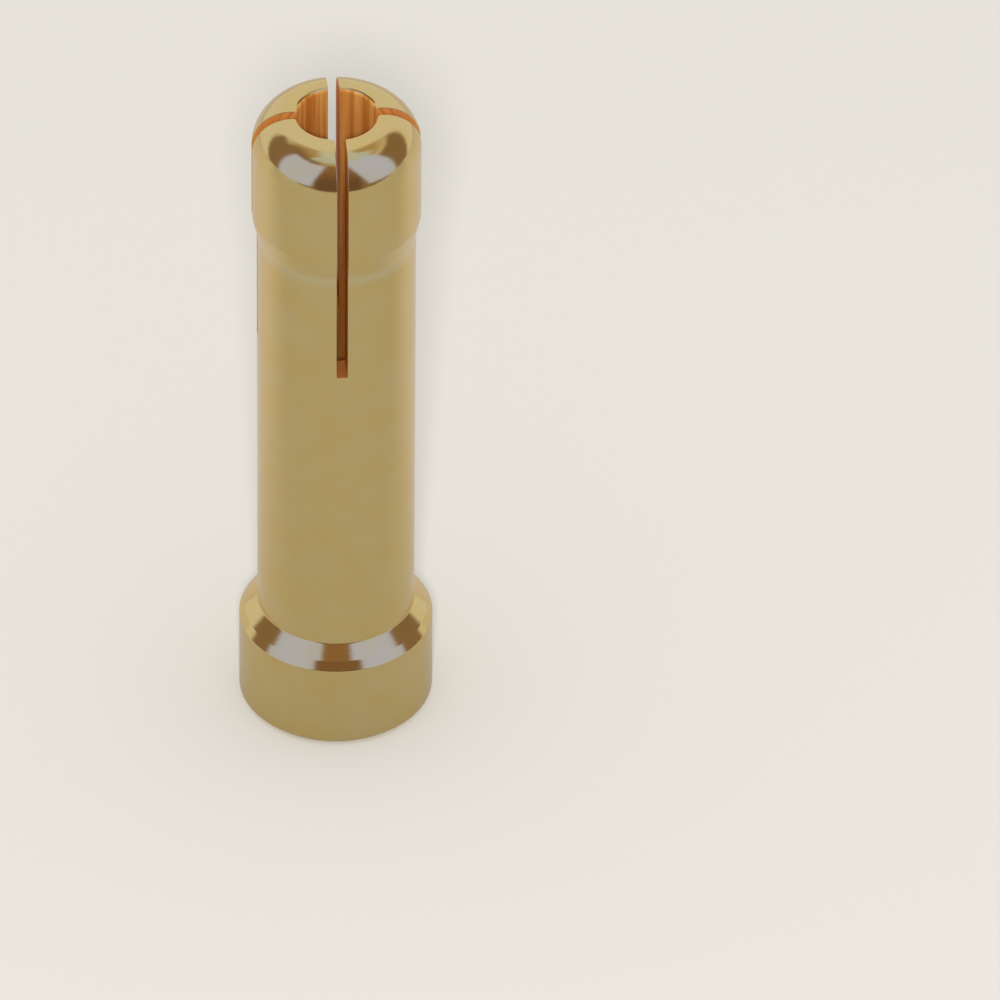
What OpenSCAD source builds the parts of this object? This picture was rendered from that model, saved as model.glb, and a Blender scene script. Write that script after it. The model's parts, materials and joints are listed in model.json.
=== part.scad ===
// Slotted bullet plug for a battery lead, turned from one bar of brass.
// From the foot up: a collar with the cup that the wire is soldered into,
// a plain barrel, and a round-nosed head that saw cuts split into springy tines.
// The plug stands on its collar, with its axis on Z and its foot at z = 0.

/* [Overall] */
// Length from the foot of the collar to the tip of the nose
overall_l = 21.8; // [20:0.1:26]

/* [Contact head] */
// Diameter of the head, which grips inside the mating socket
head_d = 5.0; // [4.9:0.05:5.4]
// Length of the straight land round the head
land_l = 2.5; // [1.5:0.05:3.5]
// Radius of the rounded nose
nose_r = 1.16; // [0.8:0.02:1.6]
// Length of the ramp from the head down to the barrel
ramp_l = 0.7; // [0.3:0.05:1.5]

/* [Barrel] */
// Diameter of the barrel between the head and the collar
barrel_d = 4.7; // [4.5:0.05:4.85]

/* [Collar] */
// Diameter of the collar
collar_d = 5.8; // [5.5:0.05:6.4]
// Height of the collar up to its rim
collar_h = 2.85; // [2:0.05:4]
// Break on the edge of the foot, measured across and up
foot_break = 0.15; // [0.05:0.01:0.25]
// Width of the steep facet just inside the rim
rim_facet_w = 0.17; // [0.1:0.01:0.2]
// Steepness of that facet, in degrees above level
rim_facet_angle = 56; // [48:1:65]
// Steepness of the shoulder that runs on up to the barrel, in degrees above level
shoulder_angle = 45; // [30:1:50]

/* [Spring slots] */
// Number of saw cuts right across the head, each of which makes two slots
saw_cuts = 2; // [1:1:3]
// Width of a saw cut
slot_w = 0.33; // [0.25:0.01:0.5]
// Length of a slot along the outside, from the tip of the nose
slot_l = 8.1; // [6:0.1:10]
// Diameter of the saw blade, which leaves each slot with a curved floor
saw_d = 15; // [12:1:30]

/* [Tip bore] */
// Diameter of the bore that frees the tines from each other
tip_bore_d = 2.34; // [1.8:0.02:2.8]
// How far the bore runs on below the slots
bore_past_slots = 2.2; // [0.2:0.1:3]
// Bevel round the mouth of the bore
tip_bevel = 0.09; // [0.04:0.01:0.15]

/* [Solder cup] */
// Diameter of the cup that takes the stripped wire
cup_d = 4.0; // [3.4:0.05:4.2]
// Depth of the cup's straight wall, with its countersink
cup_l = 6.0; // [4:0.1:8]
// Countersink round the mouth of the cup, measured across and up
cup_countersink = 0.3; // [0.1:0.05:0.4]

/* [Hidden] */
// Included angle of the drills that leave a cone at the end of both bores
drill_angle = 118;
// How far a cutter stands out past the face that it cuts
clear = 1;
$fn = 96;

head_r = head_d / 2;
barrel_r = barrel_d / 2;
collar_r = collar_d / 2;
tip_bore_r = tip_bore_d / 2;
cup_r = cup_d / 2;
saw_r = saw_d / 2;

// The nose's curve ends at the bevel of the tip bore, which is the plug's highest edge
nose_centre_r = head_r - nose_r;
nose_run = max(0, tip_bore_r + tip_bevel - nose_centre_r);
nose_h = sqrt(nose_r * nose_r - nose_run * nose_run);

// Heights of the outline's corners, from the foot up
rim_top_z = collar_h + rim_facet_w * tan(rim_facet_angle);
shoulder_w = collar_r - rim_facet_w - barrel_r;
shoulder_top_z = rim_top_z + shoulder_w * tan(shoulder_angle);
nose_z = overall_l - nose_h;
land_z = nose_z - land_l;
ramp_z = land_z - ramp_l;

// The slots end here on the outside of the barrel, and the blade's centre is above
slot_end_z = overall_l - slot_l;
saw_centre_z = slot_end_z + sqrt(saw_r * saw_r - barrel_r * barrel_r);
tip_bore_end_z = slot_end_z - bore_past_slots;

// Half section of the nose: a round that runs from the land up to the tip bore
module nose_outline() {
    translate([0, nose_z]) square([nose_centre_r, nose_h]);
    intersection() {
        translate([nose_centre_r, nose_z]) circle(r = nose_r);
        translate([0, land_z]) square([head_r, overall_l - land_z]);
    }
}

// Half section of the solid turned bar, before any drilling or sawing
module turned_outline() {
    polygon([
        [0, 0],
        [collar_r - foot_break, 0],
        [collar_r, foot_break],
        [collar_r, collar_h],
        [collar_r - rim_facet_w, rim_top_z],
        [barrel_r, shoulder_top_z],
        [barrel_r, ramp_z],
        [head_r, land_z],
        [head_r, nose_z],
        [0, nose_z]
    ]);
    nose_outline();
}

// Cone that a drill leaves below a bore of radius r, its point down
module drill_point(r) {
    point_h = r / tan(drill_angle / 2);
    translate([0, 0, -point_h]) cylinder(r1 = 0, r2 = r, h = point_h);
}

// Bore from the tip, past the ends of the slots, with a bevelled mouth
module tip_bore() {
    translate([0, 0, tip_bore_end_z]) {
        cylinder(r = tip_bore_r, h = overall_l - tip_bore_end_z + clear);
        drill_point(tip_bore_r);
    }
    translate([0, 0, overall_l - tip_bevel])
        cylinder(r1 = tip_bore_r, r2 = tip_bore_r + tip_bevel + clear, h = tip_bevel + clear);
}

// Cup from the foot, with a countersunk mouth
module solder_cup() {
    translate([0, 0, -clear]) cylinder(r = cup_r, h = cup_l + clear);
    translate([0, 0, cup_l]) mirror([0, 0, 1]) drill_point(cup_r);
    translate([0, 0, -clear])
        cylinder(r1 = cup_r + cup_countersink + clear, r2 = cup_r, h = cup_countersink + clear);
}

// One pass of the saw, straight across the head and down to the blade's round edge
module saw_cut() {
    translate([0, 0, saw_centre_z]) {
        rotate([90, 0, 0]) cylinder(r = saw_r, h = slot_w, center = true);
        translate([-saw_r, -slot_w / 2, 0]) cube([saw_d, slot_w, saw_d]);
    }
}

// The whole plug: bar turned, drilled from both ends and sawn across
module bullet_plug() {
    color([0.80, 0.66, 0.32])
        difference() {
            rotate_extrude() turned_outline();
            tip_bore();
            solder_cup();
            for (cut = [0 : saw_cuts - 1])
                rotate([0, 0, cut * 180 / saw_cuts]) saw_cut();
        }
}

bullet_plug();
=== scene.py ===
# A slotted bullet plug for a battery lead, standing on its solder-cup end on a pale studio floor.
import json
from math import asin, ceil, cos, degrees, inf, pi, radians, sin, sqrt, tan

import bpy
from mathutils import Matrix, Vector


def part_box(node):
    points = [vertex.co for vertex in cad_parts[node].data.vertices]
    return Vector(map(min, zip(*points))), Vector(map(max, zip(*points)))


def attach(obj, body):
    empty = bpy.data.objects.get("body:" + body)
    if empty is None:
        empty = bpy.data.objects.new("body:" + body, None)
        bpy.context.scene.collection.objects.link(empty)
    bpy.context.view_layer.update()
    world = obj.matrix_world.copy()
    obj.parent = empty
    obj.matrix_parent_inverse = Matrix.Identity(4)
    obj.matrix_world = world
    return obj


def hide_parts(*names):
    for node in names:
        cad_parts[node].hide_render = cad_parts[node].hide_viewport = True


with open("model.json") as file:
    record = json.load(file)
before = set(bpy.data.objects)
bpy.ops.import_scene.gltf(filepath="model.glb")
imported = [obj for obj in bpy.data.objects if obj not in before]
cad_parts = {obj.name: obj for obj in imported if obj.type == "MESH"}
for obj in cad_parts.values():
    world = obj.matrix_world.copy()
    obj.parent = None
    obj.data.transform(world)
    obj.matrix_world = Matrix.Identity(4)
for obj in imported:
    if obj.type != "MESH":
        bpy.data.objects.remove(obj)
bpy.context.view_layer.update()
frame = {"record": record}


# ---------------------------------------------------------------------------------------------
# The plug. One piece of brass, turned from bar, drilled from both ends, sawn across twice at the
# head so that its four tines spring inwards in the socket, and gold plated all over. The record's
# mounts give the head and the cup; the turner's other sizes stand here in millimetres.
# ---------------------------------------------------------------------------------------------

mm_per_m = 1000
mounts = {mount["name"]: mount for mount in frame["record"]["mounts"]}
head, cup = mounts["contact_head"], mounts["solder_cup"]
plug_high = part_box("bullet_plug")[1]
plug_l, collar_r = plug_high.z * mm_per_m, plug_high.x * mm_per_m
head_r, land_l, ramp_l = head["dims"]["r_mm"], head["dims"]["length_mm"], 0.7
barrel_r, collar_h, foot_break = 2.35, 2.85, 0.15
rim_w, rim_slope, shoulder_slope = 0.17, tan(radians(56)), tan(radians(45))
cup_r, countersink = cup["dims"]["r_mm"], 0.3
cup_l = cup["dims"]["length_mm"] + countersink
bore_r, bore_bevel, bore_past_slots = 1.17, 0.09, 2.2
drill_slope = tan(radians(59))
slot_w, slot_l, saw_r = 0.33, 8.1, 7.5
edge_break, edge_run = 0.02, 0.3   # a slot's broken edge, and the length over which it runs out
mouth_l = 0.1                      # how far down the bore, from its bevel, the skin's rows run

nose_z = head["pos_m"][2] * mm_per_m + land_l / 2
ramp_foot = nose_z - land_l - ramp_l
rim_top = collar_h + rim_w * rim_slope
shoulder_top = rim_top + (collar_r - rim_w - barrel_r) * shoulder_slope
slot_end = plug_l - slot_l
bore_end = slot_end - bore_past_slots
saw_z = slot_end + sqrt(saw_r**2 - barrel_r**2)
half_slot = slot_w / 2
hold = 0.006     # rows this near to a corner keep the plain faces beside it true
row_step = 0.8   # length between rows along a plain face
arc_step = 5     # degrees between rows round a corner


def saw_floor(x):
    """Height of a slot's curved floor at x from the axis."""
    return saw_z - sqrt(saw_r**2 - x * x)


def rounded(corners):
    """Rows (r, z) along an outline whose corners are (r, z, radius), each rounded by an arc."""
    rows = []
    for i, (r, z, radius) in enumerate(corners):
        here = Vector((r, z))
        arc = [here]
        if radius:
            back = (Vector(corners[i - 1][:2]) - here).normalized()
            on = (Vector(corners[i + 1][:2]) - here).normalized()
            half = back.angle(on) / 2
            centre = here + (back + on).normalized() * radius / sin(half)
            start = here + back * radius / tan(half) - centre
            end = here + on * radius / tan(half) - centre
            count = max(3, ceil(degrees(pi - 2 * half) / arc_step))
            spokes = [start.slerp(end, k / count) for k in range(count + 1)]
            arc = [centre + spoke.normalized() * radius for spoke in spokes]
        if rows:
            run = arc[0] - rows[-1]
            if run.length > 3 * hold:
                count = max(1, round(run.length / row_step))
                inset = hold / run.length
                shares = (inset, *(k / count for k in range(1, count)), 1 - inset)
                last = rows[-1]
                rows += [last + run * share for share in shares]
        rows += arc
    return rows


# The half section, from the cup's drill point out over the foot and the collar to the slot's end,
# on over the nose into the bore's mouth, and down the bore from there.
body = rounded([
    (0, cup_l + cup_r / drill_slope, 0),
    (cup_r, cup_l, 0.05),
    (cup_r, countersink, 0.04),
    (cup_r + countersink, 0, 0.03),
    (collar_r - foot_break, 0, 0.05),
    (collar_r, foot_break, 0.05),
    (collar_r, collar_h, 0.05),
    (collar_r - rim_w, rim_top, 0.04),
    (barrel_r, shoulder_top, 0.06),
    (barrel_r, saw_floor(barrel_r), 0),
])
tine = rounded([
    (barrel_r, saw_floor(barrel_r), 0),
    (barrel_r, ramp_foot, 0.15),
    (head_r, nose_z - land_l, 0.15),
    (head_r, plug_l, plug_l - nose_z),
    (bore_r + bore_bevel, plug_l, 0.14),
    (bore_r, plug_l - bore_bevel, 0.12),
    (bore_r, plug_l - bore_bevel - mouth_l, 0),
])
bore = rounded([
    (bore_r, saw_floor(bore_r), 0),
    (bore_r, bore_end, 0.05),
    (0, bore_end - bore_r / drill_slope, 0),
])

# The rows inside a tine pair off with those outside, so that a slot's wall is one grid between them.
travelled = [0]
for before, after in zip(tine, tine[1:]):
    travelled.append(travelled[-1] + (after - before).length)
mouth_z, floor_z = tine[-1].y, saw_floor(bore_r)
inside = [Vector((bore_r, floor_z + (mouth_z - floor_z) * s / travelled[-1])) for s in travelled[:-1]]
outline = body + tine[1:] + inside[::-1] + bore[1:]
slot_row = len(body) - 1
tip_row = slot_row + len(tine) - 1
floor_row = len(outline) - len(bore)

vertices, faces, finishes = [], [], []
cuts = ("turned", "sawn", "drilled")


def patch(lines, cut):
    """A grid of faces through lines of points. Neighbouring patches are welded later."""
    width, first = len(lines[0]), len(vertices)
    vertices.extend(point for line in lines for point in line)
    for i in range(len(lines) - 1):
        for j in range(width - 1):
            a = first + i * width + j
            faces.append((a, a + 1, a + width + 1, a + width))
            finishes.append(cuts.index(cut))


def broken(row, z):
    """How far the slot's edge is broken at a row of the outline."""
    if row < tip_row:
        return edge_break * min(1, travelled[row - slot_row] / edge_run)
    if row > tip_row:
        return edge_break * min(1, (z - floor_z) / edge_run)
    return edge_break


# Half a tine, from the middle of a slot to 45 degrees. The first points of each line lie across
# the slot's broken edge, or past the slot's ends across half its width.
columns = 24
edge_shares = (0, 0.25, 0.5, 0.75)
edge_points = len(edge_shares)
skin, slot_edge = [], {}
for i, (r, z) in enumerate(outline):
    slotted, at_end = slot_row < i < floor_row, i in (slot_row, floor_row)
    edge = broken(i, z) if slotted else 0
    at_slot = r if slotted or at_end else barrel_r if i < slot_row else bore_r
    begin = asin((half_slot + edge) / at_slot)
    turns = [k / columns * (pi / 4 - begin) for k in range(1, columns + 1)]
    turns = [0, hold / at_slot, *turns]
    line = [(r * cos(begin + turn), r * sin(begin + turn), z) for turn in turns]
    if slotted:
        before, after = outline[i - 1], outline[i + 1]
        out = Vector((after.y - before.y, before.x - after.x)).normalized()
        corner = Vector((sqrt(r * r - half_slot**2), half_slot, z))
        on_wall = corner - Vector((out.x, 0, out.y)) * edge
        on_skin = Vector(line[0])
        strip = []
        for t in edge_shares:
            strip.append(on_wall * (1 - t)**2 + corner * 2 * t * (1 - t) + on_skin * t * t)
        slot_edge[i] = strip[0]
        lead = [tuple(point) for point in strip]
    elif at_end:
        lead = []
        for y in (0, half_slot / 2, half_slot - hold, half_slot):
            x = sqrt(r * r - y * y)
            lead.append((x, y, saw_floor(x)))
        slot_edge[i] = Vector(lead[-1])
    else:
        shares = (0, 0.5, 1 - hold / half_slot, 1)
        lead = [(r * cos(begin * share), r * sin(begin * share), z) for share in shares]
    skin.append(lead + line)

cup_row = next(i for i, row in enumerate(body) if row.y < countersink)
mouth_row = slot_row + next(i for i, row in enumerate(tine) if row.x < bore_r + bore_bevel / 2)
slot_foot = [tuple(slot_edge[slot_row])] * edge_points + skin[slot_row][edge_points:]
bore_foot = [tuple(slot_edge[floor_row])] * edge_points + skin[floor_row][edge_points:]
patch(skin[:cup_row + 1], "drilled")
patch(skin[cup_row:slot_row + 1], "turned")
patch([slot_foot] + skin[slot_row + 1:mouth_row + 1], "turned")
patch(skin[mouth_row:floor_row] + [bore_foot], "drilled")
patch(skin[floor_row:], "drilled")

# The slot's wall and its floor, both from the bore out to the skin.
outward = (0, 0.01, 0.15, 0.3, 0.45, 0.6, 0.75, 0.9, 0.985, 1)
wall = []
for k in range(tip_row - slot_row + 1):
    inner, outer = slot_edge[floor_row - k], slot_edge[slot_row + k]
    line = [inner.lerp(outer, share) for share in outward]
    if k == 0:
        line = [Vector((point.x, point.y, saw_floor(point.x))) for point in line]
    wall.append([tuple(point) for point in line])
patch(wall, "sawn")
slot_floor = []
for share in reversed(outward):
    line = []
    for j in range(edge_points):
        outer, inner = Vector(skin[slot_row][j]), Vector(skin[floor_row][j])
        x = inner.x + (outer.x - inner.x) * share
        line.append((x, outer.y, saw_floor(x)))
    slot_floor.append(line)
patch(slot_floor, "sawn")

# The other half mirrors it.
count = len(vertices)
vertices += [(y, x, z) for x, y, z in vertices]
faces += [tuple(count + v for v in reversed(face)) for face in faces]
finishes += finishes
quarter = bpy.data.meshes.new("Quarter of the plug")
quarter.from_pydata([[c / mm_per_m for c in vertex] for vertex in vertices], [], faces)
quarter.attributes.new("finish", "INT", "FACE").data.foreach_set("value", finishes)
plug = bpy.data.objects.new("bullet_plug_gold", quarter)
bpy.context.scene.collection.objects.link(plug)


def add(tree, kind, inputs=(), **settings):
    """A new node with its settings, and with its inputs set or wired to other nodes."""
    node = tree.nodes.new(kind)
    for name, value in settings.items():
        setattr(node, name, value)
    for name, value in dict(inputs).items():
        if isinstance(value, bpy.types.NodeSocket):
            tree.links.new(value, node.inputs[name])
        else:
            node.inputs[name].default_value = value
    return node


def calc(tree, operation, *values):
    """One Math node on sockets or numbers."""
    return add(tree, "ShaderNodeMath", enumerate(values), operation=operation).outputs["Value"]


def fade(tree, value, start, end):
    """A smooth step from 0 at start to 1 at end, whichever of the two is higher."""
    rises = start < end
    return add(tree, "ShaderNodeMapRange", {
        "Value": value,
        "From Min": min(start, end),
        "From Max": max(start, end),
        "To Min": 0 if rises else 1,
        "To Max": 1 if rises else 0,
    }, interpolation_type="SMOOTHSTEP").outputs["Result"]


def lay(tree, under, over, cover):
    """One colour laid over another where cover is 1."""
    under, over = [(*c, 1) if isinstance(c, tuple) else c for c in (under, over)]
    return add(tree, "ShaderNodeMix", {0: cover, 6: under, 7: over}, data_type="RGBA").outputs[2]


def noise(tree, at, scale, detail=2, dimensions="3D"):
    """A noise texture at a vector, or along a number where it has one dimension."""
    inputs = {"W" if dimensions == "1D" else "Vector": at, "Scale": scale, "Detail": detail}
    return add(tree, "ShaderNodeTexNoise", inputs, noise_dimensions=dimensions).outputs["Fac"]


def bump(tree, height, distance, under=None):
    """A bump from a height between 0 and 1, on top of another bump where one is given."""
    inputs = {"Height": height, "Distance": distance}
    if under is not None:
        inputs["Normal"] = under
    return add(tree, "ShaderNodeBump", inputs).outputs["Normal"]


def tinted(tree, value, low, dark, high, light):
    """A colour that goes from dark to light as a value goes from low to high."""
    ramp = add(tree, "ShaderNodeValToRGB", {"Fac": value})
    for stop, position, colour in zip(ramp.color_ramp.elements, (low, high), (dark, light)):
        stop.position = position
        stop.color = (*colour, 1)
    return ramp.outputs["Color"]


def from_axis(tree, place):
    """How far a point lies from the plug's axis, and its height."""
    flat = add(tree, "ShaderNodeVectorMath", {0: place, 1: (1, 1, 0)}, operation="MULTIPLY")
    radius = add(tree, "ShaderNodeVectorMath", {0: flat.outputs["Vector"]}, operation="LENGTH")
    height = add(tree, "ShaderNodeSeparateXYZ", {"Vector": place})
    return radius.outputs["Value"], height.outputs["Z"]


def plated(name, colour, metallic, roughness):
    """A gold material with its tree, its Principled shader and its Object coordinates."""
    material = bpy.data.materials.new(name)
    material.use_nodes = True
    tree = material.node_tree
    shader = tree.nodes["Principled BSDF"]
    shader.inputs["Base Color"].default_value = (*colour, 1)
    shader.inputs["Metallic"].default_value = metallic
    shader.inputs["Roughness"].default_value = roughness
    return material, tree, shader, add(tree, "ShaderNodeTexCoord").outputs["Object"]


# Turned: bright, with the lathe's fine rings, a faint grain and a faint mottle, and a painted
# highlight:
# a pale band painted into the colour at the foot of the ramp.
turned, tree, shader, place = plated("Gold on turned brass", (0.85, 0.68, 0.29), 1, 0.12)
radius, height = from_axis(tree, place)
lathe = add(tree, "ShaderNodeCombineXYZ", {"X": radius, "Y": height}).outputs["Vector"]
rings = bump(tree, noise(tree, lathe, scale=12000, dimensions="2D"), distance=8e-7)
grain = noise(tree, place, scale=9000, detail=3)
grained = bump(tree, grain, distance=8e-7, under=rings)
tree.links.new(grained, shader.inputs["Normal"])
mottle = add(tree, "ShaderNodeMapRange", {
    "Value": noise(tree, place, scale=900),
    "From Min": 0.35,
    "From Max": 0.65,
}).outputs["Result"]
plating = lay(tree, (0.86, 0.675, 0.27), (0.86, 0.695, 0.322), mottle)
# Painted highlight: a paler base colour in a thin band at the foot of the ramp.
band_z, band_w = (ramp_foot - 0.12) / mm_per_m, 0.0003
off_band = calc(tree, "ABSOLUTE", calc(tree, "SUBTRACT", height, band_z))
painted_ramp_highlight = lay(tree, plating, (0.86, 0.74, 0.40), fade(tree, off_band, band_w, 0))
tree.links.new(painted_ramp_highlight, shader.inputs["Base Color"])

# Sawn: duller, with the curved marks that the blade leaves round its hub, and redder and darker,
# which is painted reflection and shade: the slots' faces are coloured as the gold looks where it
# mirrors itself in a slot.
sawn, tree, shader, place = plated("Gold on sawn brass", (0.83, 0.37, 0.09), 0.4, 0.4)
shader.inputs["Specular IOR Level"].default_value = 0
radius, height = from_axis(tree, place)
below_hub = calc(tree, "SUBTRACT", height, saw_z / mm_per_m)
in_plane = add(tree, "ShaderNodeCombineXYZ", {"X": radius, "Y": below_hub}).outputs["Vector"]
from_hub = add(tree, "ShaderNodeVectorMath", {0: in_plane}, operation="LENGTH")
marks = noise(tree, from_hub.outputs["Value"], scale=9000, dimensions="1D")
tree.links.new(bump(tree, marks, distance=3e-6), shader.inputs["Normal"])
# Painted reflection and shade: the slots' redder, darker base colour, varied along the saw marks.
saw_marks_and_painted_reflection = tinted(tree, marks, 0.3, (0.72, 0.30, 0.065), 0.7, (0.93, 0.44, 0.115))
tree.links.new(saw_marks_and_painted_reflection, shader.inputs["Base Color"])

# Drilled: painted reflection, orange as the bore looks where it mirrors itself, with lighter streaks
# painted along the axis as painted highlights.
drilled, tree, shader, place = plated("Gold on drilled brass", (1.0, 0.60, 0.20), 0.25, 0.35)
shader.inputs["Specular IOR Level"].default_value = 0
shader.inputs["Anisotropic"].default_value = 1.0
shader.inputs["Anisotropic Rotation"].default_value = 0.25
round_axis = add(tree, "ShaderNodeTangent", direction_type="RADIAL", axis="Z")
tree.links.new(round_axis.outputs["Tangent"], shader.inputs["Tangent"])
along = add(tree, "ShaderNodeVectorMath", {0: place, 1: (1, 1, 0.03)}, operation="MULTIPLY")
streaks = noise(tree, along.outputs["Vector"], scale=5000)
# Painted reflection and highlights: the bore's orange base colour, with lighter streaks along the
# axis.
painted_bore_reflection = tinted(tree, streaks, 0.38, (0.62, 0.225, 0.04), 0.64, (0.86, 0.45, 0.11))
tree.links.new(painted_bore_reflection, shader.inputs["Base Color"])

# The quarters are set round the axis and welded, and each cut gets its finish.
around = bpy.data.node_groups.new("Quarters round the axis", "GeometryNodeTree")
sockets = around.interface
sockets.new_socket("Geometry", in_out="INPUT", socket_type="NodeSocketGeometry")
quarters_in = sockets.new_socket("Quarters", in_out="INPUT", socket_type="NodeSocketInt")
weld_in = sockets.new_socket("Weld distance", in_out="INPUT", socket_type="NodeSocketFloat")
sockets.new_socket("Geometry", in_out="OUTPUT", socket_type="NodeSocketGeometry")
given = add(around, "NodeGroupInput").outputs
points = add(around, "GeometryNodePoints", {"Count": given["Quarters"]})
index = add(around, "GeometryNodeInputIndex").outputs["Index"]
turn = calc(around, "DIVIDE", 2 * pi, given["Quarters"])
rotation = add(around, "ShaderNodeCombineXYZ", {"Z": calc(around, "MULTIPLY", index, turn)})
quarters = add(around, "GeometryNodeInstanceOnPoints", {
    "Points": points.outputs["Points"],
    "Instance": given["Geometry"],
    "Rotation": rotation.outputs["Vector"],
})
real = add(around, "GeometryNodeRealizeInstances", {"Geometry": quarters.outputs["Instances"]})
made = add(around, "GeometryNodeMergeByDistance", {
    "Geometry": real.outputs["Geometry"],
    "Distance": given["Weld distance"],
}).outputs["Geometry"]
named = add(around, "GeometryNodeInputNamedAttribute", {"Name": "finish"}, data_type="INT")
for number, material in enumerate((turned, sawn, drilled)):
    both = {2: named.outputs["Attribute"], 3: number}
    is_cut = add(around, "FunctionNodeCompare", both, data_type="INT", operation="EQUAL")
    made = add(around, "GeometryNodeSetMaterial", {
        "Geometry": made,
        "Selection": is_cut.outputs["Result"],
        "Material": material,
    }).outputs["Geometry"]
add(around, "NodeGroupOutput", {"Geometry": made})

modifier = plug.modifiers.new("Quarters", "NODES")
modifier.node_group = around
modifier[quarters_in.identifier] = 4
modifier[weld_in.identifier] = 1e-7
evaluated = plug.evaluated_get(bpy.context.evaluated_depsgraph_get())
plug.data = bpy.data.meshes.new_from_object(evaluated)
plug.modifiers.clear()
plug.data.name = "Bullet plug"
plug.data.shade_smooth()
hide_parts("bullet_plug")
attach(plug, "root")


# ---------------------------------------------------------------------------------------------
# The floor, in metres. A pale matt sheet that is clear from below, with an opening under the plug
# that lets light up into the cup. It ends not far in front, so that the plating mirrors the studio
# there. Its colour holds painted shade: the plating mirrors it darker than the camera sees it, most
# so in front.
# ---------------------------------------------------------------------------------------------

left_x, right_x, near_y, far_y, drop = -0.4, 0.4, -0.052, 0.6, 2e-5
opening_r, spoke_count, level_with = 0.0027, 32, 1e-6
rim, border = [], []
for k in range(spoke_count):
    x, y = cos(2 * pi * k / spoke_count), sin(2 * pi * k / spoke_count)
    to_side = (right_x if x > 0 else left_x) / x if abs(x) > level_with else inf
    to_end = (far_y if y > 0 else near_y) / y if abs(y) > level_with else inf
    reach = min(to_side, to_end)
    rim.append((opening_r * x, opening_r * y, -drop))
    border.append((reach * x, reach * y, -drop))
strips = []
for k in range(spoke_count):
    following = (k + 1) % spoke_count
    strips.append((k, k + spoke_count, following + spoke_count, following))
sheet = bpy.data.meshes.new("Floor")
sheet.from_pydata(rim + border, [], strips)
floor_object = bpy.data.objects.new("Floor", sheet)
bpy.context.scene.collection.objects.link(floor_object)

pale = bpy.data.materials.new("Pale floor")
pale.use_nodes = True
tree = pale.node_tree
shader = tree.nodes["Principled BSDF"]
shader.inputs["Roughness"].default_value = 0.9
shader.inputs["Specular IOR Level"].default_value = 0
place = add(tree, "ShaderNodeTexCoord").outputs["Object"]
depth = add(tree, "ShaderNodeSeparateXYZ", {"Vector": place}).outputs["Y"]
behind = fade(tree, depth, -0.006, 0.012)
# Painted shade: the floor as the plating mirrors it is darker than the camera sees it, darkest in
# front.
mirrored_painted_shade = lay(tree, (0.48, 0.453, 0.427), (0.64, 0.58, 0.56), behind)
to_camera = add(tree, "ShaderNodeLightPath").outputs["Is Camera Ray"]
seen = lay(tree, mirrored_painted_shade, (0.848, 0.817, 0.748), to_camera)
tree.links.new(seen, shader.inputs["Base Color"])
below = add(tree, "ShaderNodeNewGeometry").outputs["Backfacing"]
clear = add(tree, "ShaderNodeBsdfTransparent").outputs["BSDF"]
either = add(tree, "ShaderNodeMixShader", {"Fac": below, 1: shader.outputs["BSDF"], 2: clear})
tree.links.new(either.outputs["Shader"], tree.nodes["Material Output"].inputs["Surface"])
sheet.materials.append(pale)


# ---------------------------------------------------------------------------------------------
# The studio, which only the plating mirrors: a softbox on each side of the camera, a dark gap
# between them, black flags beyond them, and a paler window and room above and behind. Angles are
# in degrees, with azimuth from the front towards the right. Matt surfaces get a plain grey light.
# ---------------------------------------------------------------------------------------------

world = bpy.data.worlds.new("Studio")
bpy.context.scene.world = world
world.use_nodes = True
tree = world.node_tree
generated = add(tree, "ShaderNodeTexCoord").outputs["Generated"]
direction = add(tree, "ShaderNodeSeparateXYZ", {"Vector": generated}).outputs
forward = calc(tree, "MULTIPLY", direction["Y"], -1)
azimuth = calc(tree, "MULTIPLY", calc(tree, "ARCTAN2", direction["X"], forward), degrees(1))
elevation = calc(tree, "MULTIPLY", calc(tree, "ARCSINE", direction["Z"]), degrees(1))
lean_from = 40


def panel(left, right, bottom, top, soft, lean_left=0.0, lean_right=0.0):
    """Where a panel covers the sky. Its sides lean by so much for each degree above lean_from."""
    above = calc(tree, "SUBTRACT", elevation, lean_from)
    off_left = calc(tree, "SUBTRACT", azimuth, calc(tree, "MULTIPLY", above, lean_left))
    off_right = calc(tree, "SUBTRACT", azimuth, calc(tree, "MULTIPLY", above, lean_right))
    past_left = fade(tree, off_left, left - soft, left + soft)
    past_right = fade(tree, off_right, right + soft, right - soft)
    past_bottom = fade(tree, elevation, bottom - soft, bottom + soft)
    past_top = fade(tree, elevation, top + soft, top - soft)
    across = calc(tree, "MULTIPLY", past_left, past_right)
    return calc(tree, "MULTIPLY", across, calc(tree, "MULTIPLY", past_bottom, past_top))


room, crown, overhead = (0.66, 0.635, 0.64), (0.42, 0.31, 0.19), (0.56, 0.6, 0.72)
flag, shade, glow = (0.235, 0.155, 0.105), (0.14, 0.085, 0.06), (0.27, 0.15, 0.08)
softbox, window = (0.49, 0.568, 1.16), (0.49, 0.57, 0.80)
plain_light, backdrop = (0.68, 0.68, 0.68), (0.885, 0.852, 0.779)
gap = lay(tree, shade, glow, fade(tree, elevation, 0, 55))
sky = room
for colour, cover in (
    (crown, panel(-140, 140, 54, 100, 8)),
    (flag, panel(-133, 131, -100, 50, 4, -0.75, 0.75)),
    (flag, panel(-122, -36, 42, 66, 8)),
    (window, panel(-68, 100, 62, 100, 4)),
    (gap, panel(-32, 27, -100, 56, 3)),
    (softbox, panel(-87, -26, -12, 53, 3, -0.1, 0.2)),
    (softbox, panel(21, 77, -8, 64, 3, -0.33)),
    (overhead, fade(tree, elevation, 73, 80)),
):
    sky = lay(tree, sky, colour, cover)
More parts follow.
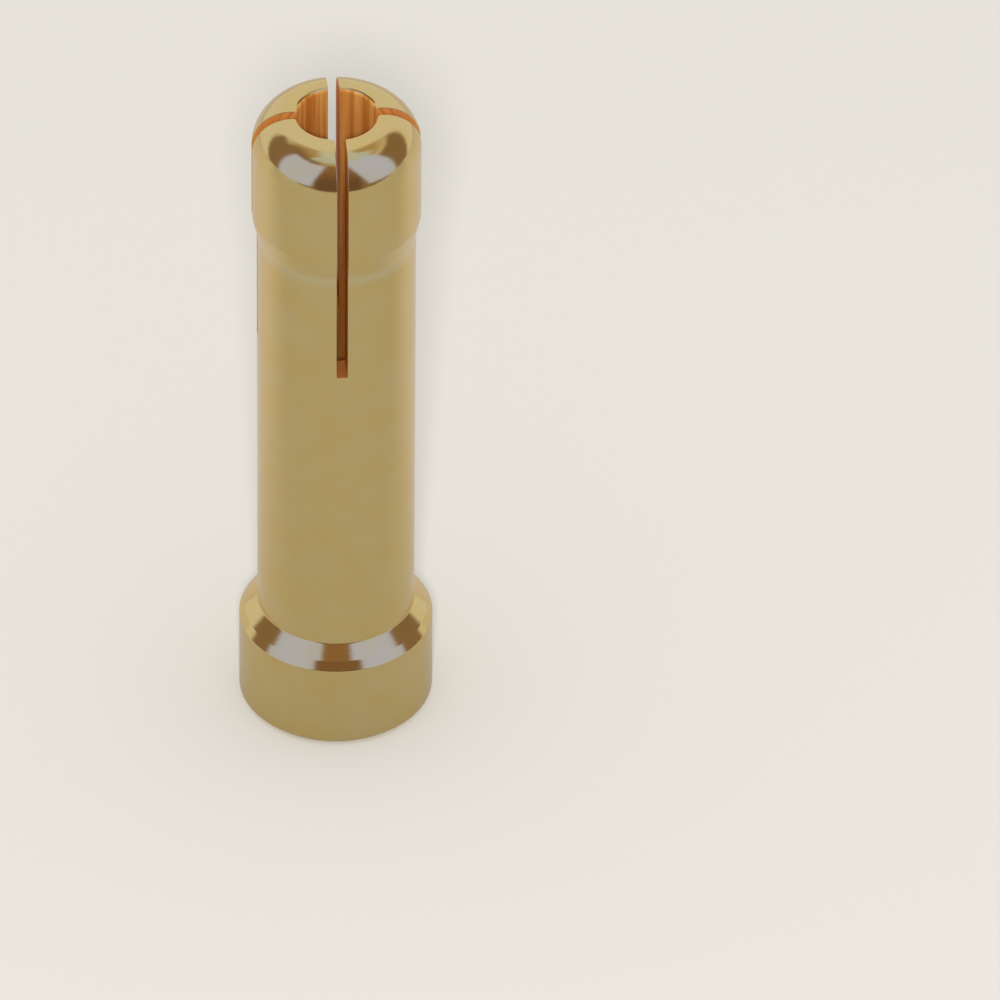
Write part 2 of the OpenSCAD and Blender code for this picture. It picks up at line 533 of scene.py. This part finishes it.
ray = add(tree, "ShaderNodeLightPath").outputs
sky = lay(tree, plain_light, sky, ray["Is Glossy Ray"])
sky = lay(tree, sky, backdrop, ray["Is Camera Ray"])
tree.links.new(sky, tree.nodes["Background"].inputs["Color"])


# ---------------------------------------------------------------------------------------------
# The lamp. One small area light close to the camera's direction, which lights the floor, the
# slots and the bores. The bright plating doesn't mirror it.
# ---------------------------------------------------------------------------------------------

def from_plug(turn, rise):
    """The direction from the plug at a turn from its front towards its right, and a rise."""
    return Vector((sin(turn) * cos(rise), -cos(turn) * cos(rise), sin(rise)))


light = bpy.data.lights.new("Front lamp", "AREA")
light.energy = 1.7
light.size = 0.05
lamp_distance = 0.6
lamp = bpy.data.objects.new("Front lamp", light)
lamp.location = from_plug(radians(-5), radians(39)) * lamp_distance
lamp.rotation_euler = (-lamp.location).to_track_quat("-Z", "Y").to_euler()
lamp.visible_glossy = False
bpy.context.scene.collection.objects.link(lamp)


# ---------------------------------------------------------------------------------------------
# The camera. A long lens, looking down on the plug from slightly to its left, with the plug left
# of the middle of the view.
# ---------------------------------------------------------------------------------------------

view_turn, view_rise, roll = radians(-5.1), radians(39.43), radians(0.55)
distance, view_width, sensor_width = 0.5, 0.029724, 36
plug_middle, aim_right, aim_down = 0.011, 0.00487, 0.003
back = from_plug(view_turn, view_rise)
level = Vector((cos(view_turn), sin(view_turn), 0))
right = level * cos(roll) + back.cross(level) * sin(roll)
up = back.cross(right)
aim = Vector((0, 0, plug_middle)) + right * aim_right - up * aim_down
camera = bpy.data.objects.new("Camera", bpy.data.cameras.new("Camera"))
camera.data.lens = sensor_width * distance / view_width
camera.location = aim + back * distance
camera.rotation_euler = Matrix((right, up, back)).transposed().to_euler()
bpy.context.scene.collection.objects.link(camera)
bpy.context.scene.camera = camera

# The slots and the bores mirror themselves many times over.
bounces = 12
bpy.context.scene.cycles.glossy_bounces = bounces
bpy.context.scene.cycles.max_bounces = bounces
bpy.context.scene.view_settings.view_transform = "Standard"
